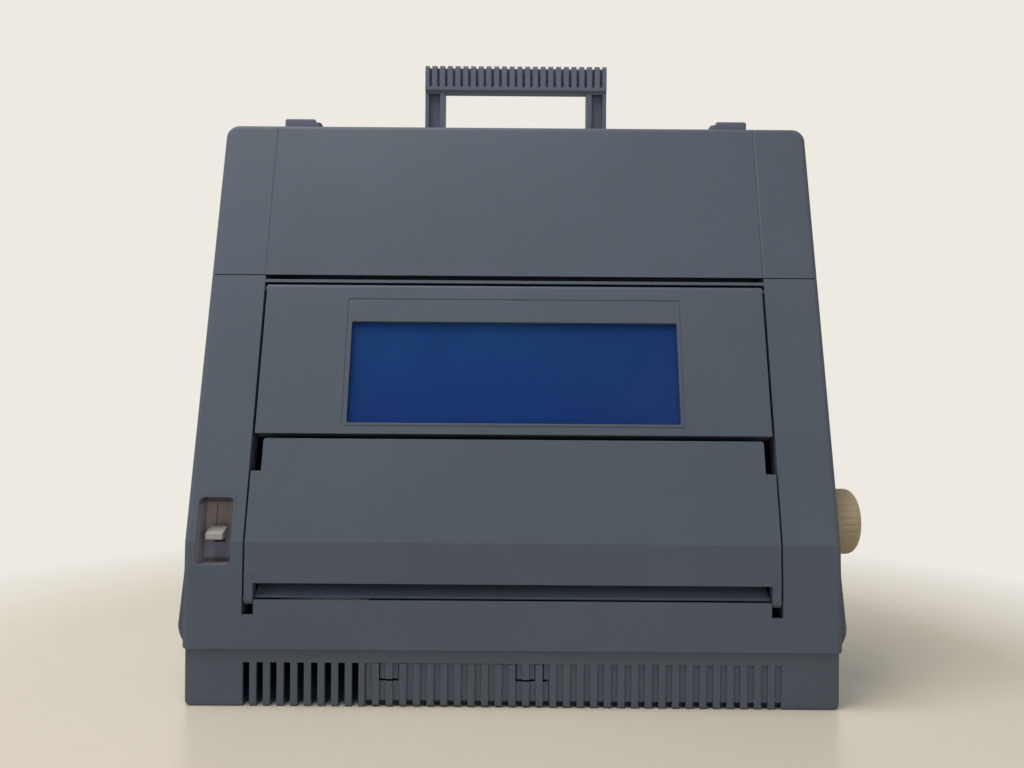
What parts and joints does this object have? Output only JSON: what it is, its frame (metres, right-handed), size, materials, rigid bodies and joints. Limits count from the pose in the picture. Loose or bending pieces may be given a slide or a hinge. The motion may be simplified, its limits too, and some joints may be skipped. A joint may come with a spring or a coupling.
{
  "type": "portable electronic typewriter",
  "caption": "Portable electronic typewriter standing on its rear face, keyboard cover closed, with tilting display, platen, print carriage, keyboard and carrying handle.",
  "frame": {"origin": "middle of the rear standing face, on the mid-plane of the body's width and depth", "axes": "+X across the machine towards the platen knob, +Y towards the base and its feet, +Z from the rear face towards the keyboard end and the handle"},
  "size_m": [0.4287, 0.1435, 0.4324],
  "materials": {
    "case_plastic": "fine spark texture, satin",
    "dark_plastic": "matte",
    "display_blue": "smooth",
    "clear_window": "clear",
    "knob_plastic": "satin",
    "lever_plastic": "satin",
    "recess_plastic": "matte",
    "rubber": "matte",
    "steel": "zinc plated",
    "board": "solder mask",
    "black_parts": "moulded",
    "copper_coil": "varnished tape",
    "gear_plastic": "natural acetal",
    "key_plastic": "fine texture",
    "belt_rubber": "moulded"
  },
  "bodies": {
    "machine": {"bottom_case": "case_plastic", "top_case": "case_plastic", "lever_escutcheon": "recess_plastic", "mains_inlet": "black_parts", "side_frames": "steel", "guide_rods": "steel", "feed_motor": "steel", "paper_guide": "case_plastic", "carriage_belt": "belt_rubber", "carriage_motor": "steel", "transformer_core": "steel", "transformer_coil": "copper_coil", "power_board": "board", "power_board_parts": "black_parts", "main_board": "board", "main_board_chips": "black_parts", "keyboard_frame": "case_plastic", "keyboard_board": "board", "switch_housing": "black_parts", "rubber_feet": "rubber", "case_screws": "steel"},
    "keyboard_lid": {"keyboard_cover": "case_plastic"},
    "left_latch": {"left_cover_latch": "case_plastic"},
    "right_latch": {"right_cover_latch": "case_plastic"},
    "handle": {"carry_handle": "case_plastic"},
    "display": {"display_bezel": "case_plastic", "display_window": "clear_window", "lcd_panel": "display_blue", "lcd_board": "board", "display_rear_shell": "case_plastic"},
    "paper_rest": {"paper_support": "case_plastic"},
    "compartment_door": {"cord_door": "case_plastic"},
    "release_lever": {"paper_release_lever": "lever_plastic", "release_shaft": "steel"},
    "platen": {"platen_shaft": "steel", "platen_roller": "rubber", "platen_knob": "knob_plastic", "platen_gear": "gear_plastic"},
    "idler": {"idler_gear": "gear_plastic"},
    "pinion": {"feed_motor_pinion": "steel"},
    "feed_roller": {"feed_rollers": "rubber"},
    "bail": {"paper_bail": "steel"},
    "bail_roller": {"bail_rollers": "rubber"},
    "carriage": {"carriage_frame": "dark_plastic", "wheel_motor": "steel", "hammer_solenoid": "black_parts", "ribbon_cassette": "black_parts"},
    "wheel": {"print_wheel": "dark_plastic"},
    "hammer": {"print_hammer": "steel"},
    "left_spool": {"supply_spool": "gear_plastic"},
    "right_spool": {"take_up_spool": "gear_plastic"},
    "belt_driver": {"drive_pulley": "gear_plastic"},
    "belt_idler": {"idle_pulley": "gear_plastic"},
    "number_keys": {"number_row_keys": "key_plastic"},
    "upper_keys": {"upper_row_keys": "key_plastic"},
    "home_keys": {"home_row_keys": "key_plastic"},
    "lower_keys": {"lower_row_keys": "key_plastic"},
    "bottom_keys": {"function_keys": "key_plastic"},
    "space_key": {"space_bar": "key_plastic"},
    "switch_rocker": {"power_switch": "black_parts"}
  },
  "joints": [
    {"name": "cover_lift", "type": "slide", "parent": "machine", "child": "keyboard_lid", "axis": [0, -0.9611, 0.2763], "range_m": [0, 0.12]},
    {"name": "left_latch_slide", "type": "slide", "parent": "keyboard_lid", "child": "left_latch", "axis": [1, 0, 0], "range_m": [0, 0.0052]},
    {"name": "right_latch_slide", "type": "slide", "parent": "keyboard_lid", "child": "right_latch", "axis": [-1, 0, 0], "range_m": [0, 0.0052]},
    {"name": "handle_slide", "type": "slide", "parent": "machine", "child": "handle", "axis": [0, 0, -1], "range_m": [0, 0.053]},
    {"name": "display_tilt", "type": "hinge", "parent": "machine", "child": "display", "pos_m": [0, -0.01653, 0.26064], "axis": [-1, 0, 0], "range_deg": [0, 55]},
    {"name": "support_swing", "type": "hinge", "parent": "machine", "child": "paper_rest", "pos_m": [0, -0.06386, 0.0652], "axis": [1, 0, 0], "range_deg": [0, 100]},
    {"name": "door_pull", "type": "slide", "parent": "machine", "child": "compartment_door", "axis": [0, -1, 0], "range_m": [0, 0.03]},
    {"name": "lever_turn", "type": "hinge", "parent": "machine", "child": "release_lever", "pos_m": [0, 0.014, 0.1054], "axis": [-1, 0, 0], "range_deg": [0, 13]},
    {"name": "platen_turn", "type": "hinge", "parent": "machine", "child": "platen", "pos_m": [0, -0.026, 0.11], "axis": [1, 0, 0], "continuous": true},
    {"name": "idler_turn", "type": "hinge", "parent": "machine", "child": "idler", "pos_m": [0.174, -0.00688, 0.08721], "axis": [1, 0, 0], "continuous": true},
    {"name": "pinion_turn", "type": "hinge", "parent": "machine", "child": "pinion", "pos_m": [0.174, 0.00248, 0.07606], "axis": [1, 0, 0], "continuous": true},
    {"name": "feed_turn", "type": "hinge", "parent": "machine", "child": "feed_roller", "pos_m": [0, -0.01102, 0.09215], "axis": [1, 0, 0], "continuous": true},
    {"name": "bail_swing", "type": "hinge", "parent": "machine", "child": "bail", "pos_m": [0, -0.04033, 0.10408], "axis": [1, 0, 0], "range_deg": [0, 22]},
    {"name": "bail_roller_turn", "type": "hinge", "parent": "bail", "child": "bail_roller", "pos_m": [0, -0.04033, 0.12708], "axis": [1, 0, 0], "continuous": true},
    {"name": "carriage_slide", "type": "slide", "parent": "machine", "child": "carriage", "axis": [1, 0, 0], "range_m": [-0.12, 0.12]},
    {"name": "wheel_turn", "type": "hinge", "parent": "carriage", "child": "wheel", "pos_m": [0, 0.008, 0.1298], "axis": [0, 0, 1], "continuous": true},
    {"name": "hammer_strike", "type": "slide", "parent": "carriage", "child": "hammer", "axis": [0, 0, -1], "range_m": [0, 0.0018], "stiffness_N_per_m": 200, "springref_m": -0.001},
    {"name": "supply_turn", "type": "hinge", "parent": "carriage", "child": "left_spool", "pos_m": [-0.0225, -0.026, 0.1474], "axis": [0, 1, 0], "continuous": true},
    {"name": "take_up_turn", "type": "hinge", "parent": "carriage", "child": "right_spool", "pos_m": [0.0225, -0.026, 0.1474], "axis": [0, 1, 0], "continuous": true},
    {"name": "driver_turn", "type": "hinge", "parent": "machine", "child": "belt_driver", "pos_m": [0.14, 0.03, 0.1964], "axis": [0, 1, 0], "range_deg": [-800, 800]},
    {"name": "belt_idler_turn", "type": "hinge", "parent": "machine", "child": "belt_idler", "pos_m": [-0.14, 0.03, 0.1964], "axis": [0, 1, 0], "range_deg": [-800, 800]},
    {"name": "number_press", "type": "slide", "parent": "machine", "child": "number_keys", "axis": [0, 0.9611, -0.2763], "range_m": [0, 0.003], "stiffness_N_per_m": 300, "springref_m": -0.002},
    {"name": "upper_press", "type": "slide", "parent": "machine", "child": "upper_keys", "axis": [0, 0.9611, -0.2763], "range_m": [0, 0.003], "stiffness_N_per_m": 300, "springref_m": -0.002},
    {"name": "home_press", "type": "slide", "parent": "machine", "child": "home_keys", "axis": [0, 0.9611, -0.2763], "range_m": [0, 0.003], "stiffness_N_per_m": 300, "springref_m": -0.002},
    {"name": "lower_press", "type": "slide", "parent": "machine", "child": "lower_keys", "axis": [0, 0.9611, -0.2763], "range_m": [0, 0.003], "stiffness_N_per_m": 300, "springref_m": -0.002},
    {"name": "bottom_press", "type": "slide", "parent": "machine", "child": "bottom_keys", "axis": [0, 0.9611, -0.2763], "range_m": [0, 0.003], "stiffness_N_per_m": 300, "springref_m": -0.002},
    {"name": "space_press", "type": "slide", "parent": "machine", "child": "space_key", "axis": [0, 0.9611, -0.2763], "range_m": [0, 0.003], "stiffness_N_per_m": 200, "springref_m": -0.002},
    {"name": "power_rock", "type": "hinge", "parent": "machine", "child": "switch_rocker", "pos_m": [-0.2009, 0.012, 0.0614], "axis": [0, 1, 0], "range_deg": [0, 13]}
  ],
  "couplings": [
    {"joint": "idler_turn", "follows": "platen_turn", "ratio": -2.0833},
    {"joint": "pinion_turn", "follows": "platen_turn", "ratio": 4.1667},
    {"joint": "feed_turn", "follows": "platen_turn", "ratio": -2.8333},
    {"joint": "bail_roller_turn", "follows": "platen_turn", "ratio": -3.4},
    {"joint": "driver_turn", "follows": "carriage_slide", "rad_per_m": -114.94},
    {"joint": "belt_idler_turn", "follows": "carriage_slide", "rad_per_m": -114.94},
    {"joint": "take_up_turn", "follows": "supply_turn", "ratio": 1}
  ]
}
